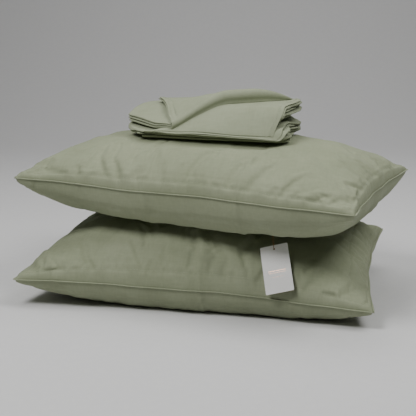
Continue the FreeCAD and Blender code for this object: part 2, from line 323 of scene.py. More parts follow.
# Corner heights go round from the front left; an open end of -1 is the left one
LOWER = Pillow("lower", 0.0, centre=(0.0, 0.0), corners=(0.056, 0.037, 0.087, 0.075),
               lift=0.006, up=0.124, down=0.098, pull=(0.020, 0.015),
               fullness=((0.56, 0.50), (0.42, 0.42)), open_end=1)
UPPER = Pillow("upper", -10.9, centre=(0.013, 0.014), corners=(0.249, 0.232, 0.240, 0.245),
               lift=-0.002, up=0.104, down=0.132, pull=(0.013, 0.014),
               fullness=((0.44, 0.56), (0.42, 0.42)), open_end=-1)


def flattened(pillow, x, y, z, side):
    """Heights after the pillow presses on what it touches."""
    if pillow is LOWER:
        if side > 0:
            return soft_min(z, contact_height(x) - REST_GAP, 0.006)
        return soft_max(z, 0.0006, 0.0015)
    if side > 0:
        return soft_min(z, cover_base(y) - REST_GAP, 0.007)
    return soft_max(z, contact_height(x) + REST_GAP, 0.006)


class Skins:
    """Two grids of points, upper and lower, that share their border."""

    def __init__(self, pillow, s, t, top=None, bottom=None):
        self.pillow, self.s, self.t = pillow, s, t
        self.shape = s.shape
        self.top = self.layer(1) if top is None else top
        self.bottom = self.layer(-1) if bottom is None else bottom

    def layer(self, side):
        x, y, z = self.pillow.skin(self.s, self.t, side)
        return np.stack([x, y, flattened(self.pillow, x, y, z, side)], axis=-1)

    def numbering(self):
        """Vertex numbers of both grids; border points are shared."""
        n, m = self.shape
        top = np.arange(n * m).reshape(n, m)
        bottom = top.copy()
        inner = (n - 2) * (m - 2)
        bottom[1:-1, 1:-1] = n * m + np.arange(inner).reshape(n - 2, m - 2)
        return top, bottom

    def points(self):
        return np.concatenate([self.top.reshape(-1, 3), self.bottom[1:-1, 1:-1].reshape(-1, 3)])

    def mesh(self, name, finish):
        top, bottom = self.numbering()
        faces = np.concatenate([grid_faces(top), grid_faces(bottom)[:, ::-1]])
        return solid(name, self.points(), faces, finish)

    def sides(self):
        """Each grid with its unit normals, pointing out of the pillow, and its side."""
        return ((self.top, normals_of(self.top), 1), (self.bottom, -normals_of(self.bottom), -1))


CLOTH_FRAMES = 20
CLOTH_SETTINGS = {
    "quality": 6, "mass": 0.15, "tension_stiffness": 25.0, "compression_stiffness": 25.0,
    "shear_stiffness": 8.0, "bending_stiffness": 0.35, "use_pressure": True,
    "uniform_pressure_force": 4.0, "vertex_group_mass": "seam",
    "shrink_min": -0.045}     # spare cloth, which becomes the wrinkles
WRINKLE_GAIN = {1: 1.45, -1: 0.50}    # upper skins, lower skins
WRINKLE_CAP = 0.014
GRID = (121, 81)          # points of one skin while it is simulated


def simulate(skins):
    """Blow the case up gently with spare cloth in it, and return the moved points."""
    obj = skins.mesh("cloth_trial", CASE_CLOTH)
    pinned = obj.vertex_groups.new(name="seam")
    top, _ = skins.numbering()
    border = np.concatenate([top[0], top[-1], top[:, 0], top[:, -1]])
    pinned.add([int(i) for i in set(border.tolist())], 1.0, "REPLACE")
    cloth = obj.modifiers.new("cloth", "CLOTH")
    for name, value in CLOTH_SETTINGS.items():
        setattr(cloth.settings, name, value)
    cloth.settings.effector_weights.gravity = 0.0
    cloth.collision_settings.use_collision = False
    cloth.point_cache.frame_start = 1
    cloth.point_cache.frame_end = CLOTH_FRAMES
    scene = bpy.context.scene
    for f in range(1, CLOTH_FRAMES + 1):
        scene.frame_set(f)
    graph = bpy.context.evaluated_depsgraph_get()
    result = obj.evaluated_get(graph).to_mesh()
    moved = np.empty(len(result.vertices) * 3)
    result.vertices.foreach_get("co", moved)
    scene.frame_set(1)
    mesh = obj.data
    bpy.data.objects.remove(obj)
    bpy.data.meshes.remove(mesh)
    return moved.reshape(-1, 3) - HOME


def blur_line(field, steps, axis):
    """Smoothing along one direction of a grid only."""
    f = np.moveaxis(field, axis, 0).copy()
    for _ in range(steps):
        p = np.concatenate([f[:1], f, f[-1:]])
        f = 0.5 * f + 0.25 * (p[:-2] + p[2:])
    return np.moveaxis(f, 0, axis)


def add_wrinkles(skins):
    """Keep the fine part of the simulated movement, and leave the overall shape."""
    change = simulate(skins) - skins.points()
    edge = np.minimum(np.minimum(skins.s, 1 - skins.s) * LENGTH,
                      np.minimum(skins.t, 1 - skins.t) * WIDTH)
    fade = ease(edge, 0.0, 0.012)[..., None]
    for (grid, _, side), index in zip(skins.sides(), skins.numbering()):
        fine = change[index] - blur(change[index], 90)
        fine = fine - blur_line(fine, 260, 0)
        fine = WRINKLE_GAIN[side] * (fine - blur_line(fine, 260, 1))
        size = norm(fine, axis=-1, keepdims=True)
        grid += fine * WRINKLE_CAP / (WRINKLE_CAP + size) * fade


def refined(field):
    """Put a point between every two of a grid, by cubic interpolation."""
    for axis in (0, 1):
        f = np.moveaxis(field, axis, 0)
        pad = np.concatenate([2 * f[:1] - f[1:2], f, 2 * f[-1:] - f[-2:-1]])
        both = np.empty((2 * f.shape[0] - 1,) + f.shape[1:])
        both[::2] = f
        both[1::2] = (9 * (pad[1:-2] + pad[2:-1]) - pad[:-3] - pad[3:]) / 16
        field = np.moveaxis(both, 0, axis)
    return field


def line_distance(x, y, start, end):
    """Distance from a line piece, and the share along it, on the pillow's plan."""
    d = np.array(end) - np.array(start)
    run = np.clip(((x - start[0]) * d[0] + (y - start[1]) * d[1]) / (d @ d), 0, 1)
    return np.hypot(x - start[0] - run * d[0], y - start[1] - run * d[1]), run


# Packing creases: side of the pillow, start and end on its plan, height and width
CREASES = {
    "upper": ((1, (-0.215, -0.235), (-0.205, -0.130), 0.0022, 0.005),
              (1, (-0.070, -0.235), (-0.080, 0.020), 0.0018, 0.005),
              (-1, (-0.070, -0.235), (-0.055, -0.120), 0.0022, 0.005),
              (1, (0.128, -0.235), (0.132, -0.105), 0.0024, 0.004),
              (-1, (0.128, -0.235), (0.134, -0.150), 0.0018, 0.004),
              (1, (0.345, -0.225), (0.105, 0.010), 0.0030, 0.022),
              (1, (0.350, -0.200), (0.190, -0.020), -0.0030, 0.020),
              (1, (0.340, 0.215), (0.180, 0.060), 0.0028, 0.022),
              (1, (-0.335, -0.215), (-0.160, -0.060), -0.0026, 0.020)),
    "lower": ((1, (0.025, -0.235), (0.010, -0.120), 0.0016, 0.005),
              (-1, (0.025, -0.235), (0.027, -0.170), 0.0026, 0.004),
              (1, (-0.182, -0.235), (-0.180, -0.160), 0.0022, 0.006),
              (1, (-0.268, -0.237), (-0.338, -0.130), 0.0040, 0.009),
              (1, (-0.245, -0.190), (-0.150, -0.020), 0.0030, 0.020),
              (1, (-0.200, -0.200), (-0.110, -0.020), -0.0030, 0.018),
              (1, (0.335, -0.205), (0.190, -0.060), 0.0028, 0.022)),
}


def add_creases(skins):
    """Press the packing creases and corner folds into the skins."""
    pillow = skins.pillow
    for grid, normal, side in skins.sides():
        x, y = pillow.to_local(grid[..., 0], grid[..., 1])
        lift = np.zeros(x.shape)
        for on, start, end, height, width in CREASES[pillow.name]:
            if on != side:
                continue
            gap, run = line_distance(x, y, start, end)
            fade = ease(1 - run, 0.0, 0.45) * ease(run, -0.02, 0.06)
            crisp = 1.5 if width < 0.01 else 1.15
            lift += crisp * height * np.exp(-gap / width) * fade
        grid += normal * lift[..., None]


def add_stitch_channels(skins):
    """Sink the cloth along the stitch lines, inside the seams and at the open end's hem."""
    front, back = skins.t * WIDTH, (1 - skins.t) * WIDTH
    left, right = skins.s * LENGTH, (1 - skins.s) * LENGTH
    nearest = np.minimum(np.minimum(front, back), np.minimum(left, right))
    hem = left if skins.pillow.open_end < 0 else right
    depth = 0
    for gap, size, width in ((nearest - STITCH_INSET, 0.0011, 0.0022),
                             (nearest - 0.0045, -0.0009, 0.0022),
                             (nearest - 2.1 * STITCH_INSET, 0.0006, 0.0022),
                             (hem - HEM_INSET, 0.0013, 0.0030)):
        depth = depth + size * np.exp(-(gap / width) ** 2)
    depth = depth - 0.0008 * ease(HEM_INSET - hem, 0.0, 0.003)
    for grid, normal, _ in skins.sides():
        grid -= normal * (depth * ease(nearest, 0.0, 0.003))[..., None]


def press(skins):
    """Keep the wrinkled skins clear of the floor and of what they touch."""
    pillow = skins.pillow
    for grid, _, side in skins.sides():
        x, y, z = grid[..., 0], grid[..., 1], grid[..., 2]
        if pillow is LOWER and side > 0:
            z = soft_min(z, contact_height(x) - REST_GAP, 0.0015)
        elif pillow is LOWER:
            z = soft_max(z, 0.0004, 0.0008)
        elif side > 0:
            under = under_cover(x, y)      # and a dent ahead of the cover's front
            z = z * (1 - under) + soft_min(z, cover_base(y) - REST_GAP, 0.0015) * under
            ahead = np.exp(-((y + 0.072) / 0.026) ** 2)
            z = z - 0.0075 * ahead * ease(0.19 - np.abs(x + 0.005), 0.0, 0.07)
        else:
            near_tag = np.exp(-((x - 0.165) / 0.075) ** 2 - ((y + 0.185) / 0.050) ** 2)
            z = soft_max(z + 0.0045 * near_tag, contact_height(x) + REST_GAP, 0.0015)
        grid[..., 2] = z


def under_cover(x, y):
    """1 under the folded cover, fading to 0 beyond its borders."""
    dx = np.maximum(np.abs(x + 0.005) - 0.185, 0)
    dy = np.maximum(np.abs(y - 0.055) - 0.125, 0)
    return 1 - ease(np.hypot(dx, dy), 0.0, 0.03)


def on_skin(skins, s, t, side):
    """Points just off a skin at the shares s and t, and the skin's normals there."""
    grid, normal, _ = skins.sides()[0 if side > 0 else 1]
    s_line, t_line = skins.s[:, 0], skins.t[0]
    i = np.clip(np.searchsorted(s_line, s) - 1, 0, len(s_line) - 2)
    j = np.clip(np.searchsorted(t_line, t) - 1, 0, len(t_line) - 2)
    p = ((s - s_line[i]) / (s_line[i + 1] - s_line[i]))[:, None]
    q = ((t - t_line[j]) / (t_line[j + 1] - t_line[j]))[:, None]

    def at(g):
        return ((1 - p) * (1 - q) * g[i, j] + p * (1 - q) * g[i + 1, j]
                + (1 - p) * q * g[i, j + 1] + p * q * g[i + 1, j + 1])

    return at(grid) + THREAD_LIFT * at(normal), at(normal)


def stitch_mesh(name, lines):
    """Small thread capsules along lines of (points, normals)."""
    length, pitch, half = STITCH
    verts, faces = [], []
    for points, normals in lines:
        run = np.concatenate([[0], np.cumsum(norm(np.diff(points, axis=0), axis=1))])
        for start in np.arange(pitch, run[-1] - pitch, pitch):
            first, last, n = [np.array([np.interp(place, run, c) for c in values.T])
                              for place, values in ((start, points), (start + length, points),
                                                    (start, normals))]
            side = np.cross(unit(last - first), n)
            base = len(verts)
            verts.append(first - 0.3 * half * n)
            for share in (0.2, 0.8):
                c = mix((first, last), share)
                verts += [c + half * side, c + half * n, c - half * side, c - half * n]
            verts.append(last - 0.3 * half * n)
            a, b, tip = base + 1, base + 5, base + 9
            for k in range(4):
                m = (k + 1) % 4
                faces += [(base, a + m, a + k), (a + k, a + m, b + m, b + k), (b + k, b + m, tip)]
    return solid(name, np.array(verts), faces, THREAD)


def seam_stitches(skins):
    """The four lines of stitches inside the seams, on the upper skin."""
    along, across = STITCH_INSET / LENGTH, STITCH_INSET / WIDTH
    s_run = np.linspace(along, 1 - along, 420)
    t_run = np.linspace(across, 1 - across, 280)
    lengthwise = [on_skin(skins, s_run, np.full(420, t), 1) for t in (across, 1 - across)]
    return lengthwise + [on_skin(skins, np.full(280, s), t_run, 1) for s in (along, 1 - along)]


def lip_mesh(name, points, out):
    """A thin rounded edge along a line of points; out points away from the pillow."""
    sides = 8
    up = np.cross(out, np.gradient(points, axis=0))
    up /= norm(up, axis=1, keepdims=True)
    up *= np.where(up[:, 2:3] < 0, -1, 1)
    verts = []
    count = len(points)
    for k in range(count):
        taper = min(1.0, 0.35 + 0.2 * min(k, count - 1 - k))
        for m in range(sides):
            a = 2 * math.pi * m / sides
            verts.append(points[k] + taper * (LIP[0] * math.cos(a) * out[k]
                                              + LIP[1] * math.sin(a) * up[k]))
    index = np.arange(count * sides).reshape(count, sides)
    faces = [*grid_faces(np.pad(index, ((0, 0), (0, 1)), mode="wrap")), index[0], index[-1]]
    # The lips take the lighter seam cotton, whose lighter colour is painted highlight along the
    # seam ridge.
    return solid(name, np.array(verts), faces, SEAM_CLOTH_PAINTED_HIGHLIGHT)


def joined(name, *objs):
    """Several meshes as one object."""
    bm = bmesh.new()
    for o in objs:
        bm.from_mesh(o.data)
    first = objs[0]
    bm.to_mesh(first.data)
    bm.free()
    for o in objs[1:]:
        bpy.data.objects.remove(o)
    first.name = name
    return first


def seam_edges(skins):
    """The sewn edges of one case: three closed seams and the two hems of the open end."""
    pillow = skins.pillow
    top = skins.top
    centre = top.mean(axis=(0, 1))
    open_row, closed_row = (top[0], top[-1]) if pillow.open_end < 0 else (top[-1], top[0])
    for node, line in zip(SEAMS, (top[:, 0], top[:, -1], closed_row, open_row)):
        out = np.cross(line[-1] - line[0], (0, 0, 1.0))
        out *= np.sign(np.dot(out, line[len(line) // 2] - centre)) / norm(out)
        out = np.tile(out, (len(line), 1))
        line = line + LIP[0] * 0.55 * out
        full = pillow.name + "_" + node
        if node == "opening_hem":
            apart = np.array([0, 0, LIPS_APART])
            lips = [lip_mesh(full + "_part", line + apart * k, out) for k in (-1, 1)]
            lip = joined(full + "_edges", *lips)
        else:
            lip = lip_mesh(full + "_edge", line, out)
        placed(lip, pillow.body, [full])
    t_run = np.linspace(0.02, 0.98, 300)
    hem_share = HEM_INSET / LENGTH if pillow.open_end < 0 else 1 - HEM_INSET / LENGTH
    hem = [on_skin(skins, np.full(300, hem_share), t_run, side) for side in (1, -1)]
    stitching = stitch_mesh(pillow.name + "_stitching", seam_stitches(skins) + hem)
    placed(stitching, pillow.body)


def offset_copy(skins, depth):
    """The same skins moved inwards, at a quarter of the points."""
    keep = slice(None, None, 4)
    edge = max(depth, 0.003)
    pulled = []
    for grid, normal, _ in skins.sides():
        g = (grid - normal * depth)[keep, keep]
        core = g.mean(axis=(0, 1))
        g[..., :2] = core[:2] + (g[..., :2] - core[:2]) * (1 - 2.2 * edge / WIDTH)
        pulled.append(g)
    middle = 0.5 * (pulled[0] + pulled[1])
    for g in pulled:
        g[0], g[-1], g[:, 0], g[:, -1] = middle[0], middle[-1], middle[:, 0], middle[:, -1]
    return Skins(skins.pillow, skins.s[keep, keep], skins.t[keep, keep], *pulled)


def pillow_inside(skins):
    """The pillow in its own ticking, and the case's tuck-in flap."""
    pillow = skins.pillow
    ticking = offset_copy(skins, 0.005).mesh(pillow.name + "_pillow_ticking", TICKING)
    inside = ("_ticking_top", "_ticking_bottom", "_fibre_filling")
    placed(ticking, pillow.body, [pillow.name + node for node in inside])
    rows = slice(0, 14) if pillow.open_end < 0 else slice(-14, None)
    high_side = offset_copy(skins, 0.0025).top[rows, 2:-2]
    low_side = high_side - np.array([0, 0, 0.0008])
    flap = slab_mesh(pillow.name + "_tuck_in_flap_cloth", high_side, low_side, CASE_CLOTH)
    placed(flap, pillow.body, [pillow.name + "_tuck_in_flap"])
    declare_sheet([high_side])


def declare_sheet(grids):
    """Work out what size a piece's cloth was cut to, with its grids laid end to end; the sizes are
    not kept.
    """
    along = across = area = 0.0
    for grid in grids:
        a = grid[1:, 1:] - grid[:-1, :-1]
        b = grid[1:, :-1] - grid[:-1, 1:]
        area += float(0.5 * norm(np.cross(a, b), axis=-1).sum())
        runs = [float(norm(np.diff(grid, axis=k), axis=-1).sum(axis=k).max()) for k in (0, 1)]
        along, across = max(along, runs[0]), across + runs[1]


def slab_mesh(name, upper, lower, finish):
    """A closed thin solid between two grids of points."""
    n, m = upper.shape[:2]
    top = np.arange(n * m).reshape(n, m)
    low = top + n * m
    verts = np.concatenate([upper.reshape(-1, 3), lower.reshape(-1, 3)])
    rim = np.concatenate([top[:, 0], top[-1, 1:], top[-2::-1, -1], top[0, -2:0:-1]])
    sides = zip(rim, rim + n * m, np.roll(rim, -1) + n * m, np.roll(rim, -1))
    faces = [*grid_faces(top), *grid_faces(low)[:, ::-1], *sides]
    return solid(name, verts, faces, finish)


def pillow_case(pillow):
    """The outer cloth of one pillow, with its wrinkles, creases and stitch channels."""
    skins = Skins(pillow, *np.meshgrid(*[grid_shares(count) for count in GRID], indexing="ij"))
    add_wrinkles(skins)
    s, t = [refined(share[..., None])[..., 0] for share in (skins.s, skins.t)]
    skins = Skins(pillow, s, t, refined(skins.top), refined(skins.bottom))
    add_creases(skins)
    add_stitch_channels(skins)
    press(skins)
    case = skins.mesh(pillow.name + "_pillowcase", CASE_CLOTH)
    panels = [pillow.name + node for node in ("_case_top", "_case_bottom")]
    placed(case, pillow.body, panels)
    return skins


for pillow in (UPPER, LOWER):
    skins = pillow_case(pillow)
    seam_edges(skins)
    pillow_inside(skins)


# ---- folded cover

COVER_PLAN = np.array(((-0.198, -0.042), (0.154, -0.066), (0.184, 0.152), (-0.172, 0.176)))
COVER_FRONT_TOP = (0.352, 0.334)      # heights, and the run of the slope, at left and right
COVER_PLATEAU = (0.386, 0.396)
COVER_FRONT_RUN = (0.150, 0.050)
COVER_LENGTH, COVER_DEPTH = 0.352, 0.219
CLOTH = 0.0021            # one hemmed layer, kept thick enough to show
BUTTON_ROOM = 0.0050
FOLD_START = np.array((-0.074, -0.046))      # the line that the corner is turned over
FOLD_END = np.array((0.158, 0.112))
CORNER_TIP = np.array((-0.146, 0.125))
TIP_SPREAD = 0.62         # how far the turned corner's free edge runs towards FOLD_END
LEFT_END = np.array((-0.187, 0.015))
LEFT_FOLDS_END = (0.845, 0.950)       # share of the length where they fade out
ROUNDED = 0.985           # roundness of a fold's rims; 1 would close them to a sharp edge
RIM = np.array((0.0, 0.0003, 0.0009, 0.0018, 0.0030, 0.0046, 0.0070, 0.0100))


def cover_place(a, b):
    """Plan place at a from left to right and b from front to back."""
    front_left, front_right, back_right, back_left = COVER_PLAN
    return [(1 - b) * mix((front_left[k], front_right[k]), a)
            + b * mix((back_left[k], back_right[k]), a) for k in (0, 1)]


def cover_shares(x, y):
    """The shares a and b of a plan place, by Newton steps."""
    a, b = np.full(np.shape(x), 0.5), np.full(np.shape(x), 0.5)
    step = 1e-4
    for _ in range(8):
        here = cover_place(a, b)
        da = [(p - q) / step for p, q in zip(cover_place(a + step, b), here)]
        db = [(p - q) / step for p, q in zip(cover_place(a, b + step), here)]
        det = da[0] * db[1] - da[1] * db[0]
        miss = (x - here[0], y - here[1])
        a = a + (miss[0] * db[1] - miss[1] * db[0]) / det
        b = b + (da[0] * miss[1] - da[1] * miss[0]) / det
    return a, b


def cover_top(a, b):
    back = np.clip(b * COVER_DEPTH / mix(COVER_FRONT_RUN, a), 0.0, 1.0)
    return mix((mix(COVER_FRONT_TOP, a), mix(COVER_PLATEAU, a)), np.sin(0.5 * math.pi * back))


def behind(x, y, start, end):
    """How far a plan place lies behind the line from start to end."""
    along = unit(end - start)
    return -(x - start[0]) * along[1] + (y - start[1]) * along[0]


def behind_fold(x, y):
    return behind(x, y, FOLD_START, FOLD_END)


def cover_ground(a, b):
    return cover_base(cover_place(a, b)[1]) + REST_GAP


def waves(x, y, seed, size, span=(0.03, 0.10)):
    """A soft random field: a few long ripples in all directions."""
    count = 9
    dice = np.random.default_rng(seed)
    total = np.zeros(np.shape(x))
    for _ in range(count):
        turn, phase = dice.uniform(0, math.pi), dice.uniform(0, 2 * math.pi)
        length = dice.uniform(*span)
        total += np.sin(2 * math.pi * (x * math.cos(turn) + y * math.sin(turn)) / length + phase)
    return size * total / math.sqrt(count)


def fold_dent(x, y):
    """How far the layers are pressed down where the turned corner starts."""
    gap = (x - FOLD_START[0]) ** 2 + (y - FOLD_START[1]) ** 2
    return 0.0050 * np.exp(-gap / 0.040 ** 2)


def under_top(a, b):
    """Height of the main upper layer, which dips under the layers at its left."""
    x, y = cover_place(a, b)
    dip = mix((0.0245, 0.0095), ease(a, 0.10, 0.50)) * ease(0.92 - a, 0.0, 0.10)
    return (cover_top(a, b) - fold_dent(x, y) - dip * ease(behind_fold(x, y), 0.002, 0.055)
            * ease(behind(x, y, LEFT_END, FOLD_START), -0.050, 0.0))


def left_top(a, b):
    """Height of the upper layers left of the fold, with a soft hump at the back."""
    x, y = cover_place(a, b)
    far = mix((-0.0030, 0.0005), ease(a, 0.05, 0.50))
    valley = np.exp(-0.5 * ((behind_fold(x, y) - 0.052) / 0.026) ** 2)
    far = far - 0.0030 * valley * ease(0.45 - b, 0.0, 0.2)
    hump = 0.0115 * np.exp(-0.5 * (((a - 0.40) / 0.085) ** 2 + ((b - 1.0) / 0.10) ** 2))
    near = mix((0.0080, far), ease(behind_fold(x, y), 0.0, 0.050))
    return cover_top(a, b) + near + hump - fold_dent(x, y)


def lower_height(a, b):
    """Height of the lower group of folds over the pillow."""
    rise = cover_top(a, b) - cover_ground(a, b)
    inner = 0.58 * rise - BUTTON_ROOM
    slump = 1 - 0.42 * ease(a, 0.85, 1.0) * ease(b, 0.30, 0.75)
    return mix((0.93 * rise, inner * slump), ease(b, 0.0, 0.16))


def steps(length, pitch=0.005):
    """Shares along a run of cloth, close together at both rims."""
    inner = np.linspace(RIM[-1], length - RIM[-1], max(4, int(length / pitch)))
    return np.concatenate([RIM[:-1], inner, (length - RIM[:-1])[::-1]]) / length


def rounded(x, y, middle, half, rim):
    """Upper and lower points of a slab with rounded borders, at distances rim from them."""
    share = 1 - np.clip(rim / half, 0, 1)
    curve = np.sqrt(1 - ROUNDED * share * share)
    return [np.stack([x, y, middle + side * half * curve], axis=-1) for side in (1, -1)]


def leaf(low, high, outline, seed):
    """One fold, from its heights low and high and its left, right, front and back borders."""
    p, q = np.meshgrid(steps(COVER_LENGTH), steps(COVER_DEPTH), indexing="ij")
    left, right, front, back = outline(p, q)
    a, b = left + (right - left) * p, front + (back - front) * q
    x, y = cover_place(a, b)
    z0, z1 = low(a, b), high(a, b)
    half = 0.5 * np.maximum(z1 - z0, 0.0006)
    rim = np.min([p * (right - left) * COVER_LENGTH, (1 - p) * (right - left) * COVER_LENGTH,
                  q * (back - front) * COVER_DEPTH, (1 - q) * (back - front) * COVER_DEPTH], axis=0)
    return rounded(x, y, z0 + half + waves(x, y, seed, 0.00018), half, rim)


def lowered_corner(q, size=0.17):
    """How far the front left corner is rounded off."""
    return size * np.clip(1 - q / 0.30, 0, 1) ** 1.5


def right_bulge(q, size, seed):
    """The uneven right border of a fold."""
    phase = np.random.default_rng(seed).uniform(0, 2 * math.pi, 2)
    uneven = 0.006 * np.sin(7 * q + phase[0]) + 0.004 * np.sin(15 * q + phase[1])
    swell = size * np.exp(-((q - 0.13) / 0.16) ** 2)
    front_corner = 0.05 * np.clip(1 - q / 0.05, 0, 1) ** 2
    return 1.0 + swell - front_corner - 0.03 * ease(q, 0.88, 1.0) + uneven


# Shares of the lower group's height at the top of each leaf, in five places
SHARES_FRONT = (0.0, 0.28, 0.55, 0.70, 0.85, 1.0)
SHARES_INSIDE = (0.0, 0.21, 0.42, 0.62, 0.81, 1.0)
SHARES_LEFT = (0.0, 0.37, 0.72, 0.82, 0.91, 1.0)
SHARES_NEAR_END = (0.0, 0.1, 0.42, 0.60, 0.80, 1.0)
SHARES_FAR_END = (0.0, 0.1, 0.16, 0.44, 0.72, 1.0)


def lower_share(index, a, b):
    """Share of the lower group's height at the top of its leaf, from 1 to 5."""
    ahead = mix((SHARES_LEFT[index], SHARES_FRONT[index]), ease(a, 0.15, 0.60))
    share = mix((ahead, SHARES_INSIDE[index]), ease(b, 0.0, 0.16))
    drooping = mix((SHARES_NEAR_END[index], SHARES_FAR_END[index]), ease(b, 0.05, 0.30))
    return mix((drooping, share), ease(a, 0.05, 0.17))


# The lower group's leaves: left border, its front corner's rounding, front border, right bulge
LOWER_LEAVES = ((0.140, 0.012, 0.045, 0.034), (0.118, 0.012, 0.022, 0.044),
                (0.020, 0.17, -0.004, 0.030), (0.008, 0.18, -0.022, 0.034),
                (0.014, 0.19, -0.012, 0.010))


def lower_leaf(index):
    """One of the five leaves of the lower group, counted from the pillow up."""
    left, corner, front, bulge = LOWER_LEAVES[index - 1]

    def at(a, b, part):
        """Height at a part of this leaf's own room: 0 is its bottom and 1 its top."""
        share = mix((lower_share(index - 1, a, b), lower_share(index, a, b)), part)
        return np.minimum(cover_ground(a, b) + share * lower_height(a, b),
                          under_top(a, b) - CLOTH - 0.0004 - 0.0012 * (6 - index))

    def outline(p, q):
        back = 0.985 + 0.01 * np.sin(5 * p + 2 * index) - 0.10 * ease(p, 0.90, 1.0)
        return (left + lowered_corner(q, corner), right_bulge(q, bulge, 30 + index),
                front + 0.005 * np.sin(7 * p + 1.7 * index), back)

    return leaf(lambda a, b: at(a, b, 0.12), lambda a, b: at(a, b, 0.88), outline, 40 + index)


def upper_leaf(index):
    """One of the four leaves between the buttons and the main upper layer."""
    def at(a, b, share):
        """Height at a share of the room between the lower group and the upper layer."""
        base = cover_ground(a, b)
        bottom = base + 0.58 * (cover_top(a, b) - base) + 0.0004
        top = under_top(a, b) - CLOTH - 0.0006
        sway = 0.07 * np.sin(2 * math.pi * (1.2 * b + 0.1)) * ease(a, 0.75, 1.0)
        bent = share + sway * share * (1 - share) * 4
        return bottom + np.maximum(top - bottom, 0.001) * bent

    def outline(p, q):
        reach = (0.975, 1.006, 0.990, 1.000)[index - 1]
        back = 0.975 + 0.012 * np.sin(6 * p + index) - 0.06 * ease(p, 0.90, 1.0)
        return (np.full(q.shape, 0.52), right_bulge(q, 0.004, 50 + index) - 1 + reach,
                np.full(p.shape, 0.16 - 0.015 * index), back)

    return leaf(lambda a, b: at(a, b, (index - 1) / 4 + 0.035),
                lambda a, b: at(a, b, index / 4 - 0.035), outline, 60 + index)


def hem_relief(gap, width=0.0125):
    """Height of a stitched hem at a distance from its border."""
    band = 0.0010 * ease(width - gap, 0.0, 0.0014)
    groove = 0.0012 * np.exp(-((gap - width - 0.0006) / 0.0013) ** 2)
    stitched = 0.0006 * np.exp(-((gap - 0.0030) / 0.0012) ** 2)
    return band - groove - stitched


def top_layer():
    """The main upper layer: sloping front, hemmed right border, curled left end."""
    p, q = np.meshgrid(steps(COVER_LENGTH, 0.0026), steps(COVER_DEPTH, 0.0030), indexing="ij")
    left = lowered_corner(q)
    right = 0.962 + 0.034 * ease(q, 0.0, 0.16) + 0.003 * np.sin(8 * q + 1)
    right = right - 0.022 * ease(q, 0.84, 1.0)
    a = left + (right - left) * p
    back = 1.0 + 0.012 * np.sin(5 * p) - 0.09 * ease(p, 0.88, 1.0)
    b = 0.010 + 0.004 * np.sin(7 * p) + back * q
    x, y = cover_place(a, b)
    z = under_top(a, np.maximum(b, 0)) + waves(x, y, 5, 0.00035, span=(0.05, 0.14))
    to_left = p * (right - left) * COVER_LENGTH
    to_right = (1 - p) * (right - left) * COVER_LENGTH
    curl = 0.0095
    bend = (curl - np.sqrt(curl ** 2 - (curl - np.clip(to_left, 0, curl)) ** 2))
    z = z - bend * mix((0.45, 0.9), ease(b, 0.05, 0.25))
    z = z - 0.0022 * np.exp(-to_right / 0.0030) - 0.0016 * np.exp(-q * COVER_DEPTH / 0.0030)
    z = z + hem_relief(to_right)
    upper = np.stack([x, y, z], axis=-1)
    return upper, upper - normals_of(upper) * CLOTH


# The far border of the folds at the left: shares of their run, and places on the plan
FAR_PLACES = (0.0, 0.42, 0.56, 1.0)
FAR_BORDER = ((-0.187, 0.015), (-0.175, 0.140), (-0.150, 0.170), (0.125, 0.155))


def left_leaf(index):
    """One of the three leaves left of the fold, counted from the top."""
    p, q = np.meshgrid(steps(0.33), steps(0.16), indexing="ij")
    root = [mix((FOLD_START[k], FOLD_END[k]), 0.010 + 0.80 * p) for k in (0, 1)]
    inward = mix((0.0035, 0.0090), ease(p, 0.0, 0.12))
    root = [root[0] - 0.563 * inward, root[1] + 0.827 * inward]      # square to the fold
    far = [np.interp(p, FAR_PLACES, [c[k] for c in FAR_BORDER]) for k in (0, 1)]
    pull = 1 - (0.0, 0.012, 0.030)[index]
    x, y = [r + (f - r) * q * pull for r, f in zip(root, far)]
    sag = (0.0, 0.0012, 0.0020)[index] * np.exp(-p * 40)
    x, y = x - sag * 0.5, y - sag * 0.8
    a, b = cover_shares(x, y)
    inside = ease(behind_fold(x, y), 0.0, 0.06)
    further = ease(a, 0.10, 0.50)
    thick = mix((0.0019, mix((0.0035, 0.0020), further)), inside)
    gap = mix((0.0010, mix((0.0017, 0.0008), further)), inside)
    top = left_top(a, b) - index * (thick + gap) + waves(x, y, 70 + index, 0.0002)
    half = 0.5 * thick
    return rounded(x, y, top - half, half, np.minimum(p * 0.33, (1 - q) * 0.14))


ROLL_COLUMNS = 18         # points round the roll; the columns after them lie back


